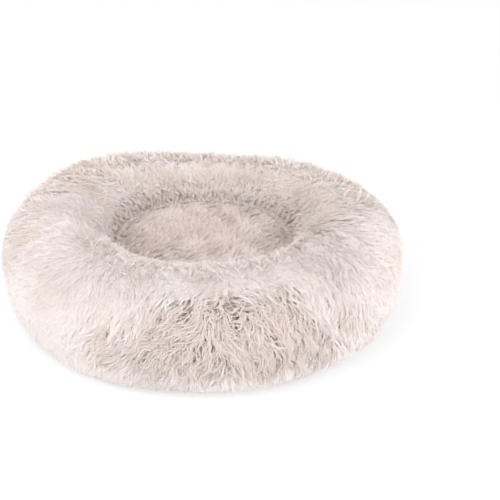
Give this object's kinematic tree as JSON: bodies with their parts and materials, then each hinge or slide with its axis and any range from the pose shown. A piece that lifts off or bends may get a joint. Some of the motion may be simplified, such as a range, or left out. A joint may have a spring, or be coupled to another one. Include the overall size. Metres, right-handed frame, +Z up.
{
  "type": "round pet cushion",
  "caption": "Round stuffed pet bed: a fat plush ring round a low crowned plush cushion, with a zipped cloth base and moulded grips.",
  "frame": {"origin": "middle of the bed at floor level, under the cushion", "axes": "+Z up; -Y is the pictured front; +X is the viewer's right, and the closed end of the zip"},
  "size_m": [0.6092, 0.5828, 0.1693],
  "materials": {
    "plush": "long pile, cream with a pinkish beige cast",
    "lining": "white nonwoven",
    "fibre": "loose white polyester fibre",
    "base_cloth": "woven cloth with moulded grips",
    "zip_tape": "woven tape with moulded teeth",
    "zip_metal": "plated, satin"
  },
  "bodies": {
    "bed": {"rim_cover": "plush", "rim_liner": "lining", "rim_fill": "fibre", "cushion_cover": "plush", "cushion_liner": "lining", "cushion_fill": "fibre", "base_panel_front": "base_cloth", "base_panel_rear": "base_cloth", "zip_tape_front": "zip_tape", "zip_tape_rear": "zip_tape", "zip_closed_stop_front": "zip_metal", "zip_closed_stop_rear": "zip_metal", "zip_open_stop": "zip_metal"},
    "slider": {"zip_slider": "zip_metal"},
    "pull": {"zip_pull": "zip_metal"}
  },
  "joints": [
    {"name": "zip_slide", "type": "slide", "parent": "bed", "child": "slider", "axis": [-1, 0, 0], "range_m": [0, 0.241], "deforming": ["zip_tape_front", "zip_tape_rear"]},
    {"name": "pull_hinge", "type": "hinge", "parent": "slider", "child": "pull", "pos_m": [0.1253, 0, 0.005], "axis": [0, -1, 0], "range_deg": [0, 180]}
  ]
}
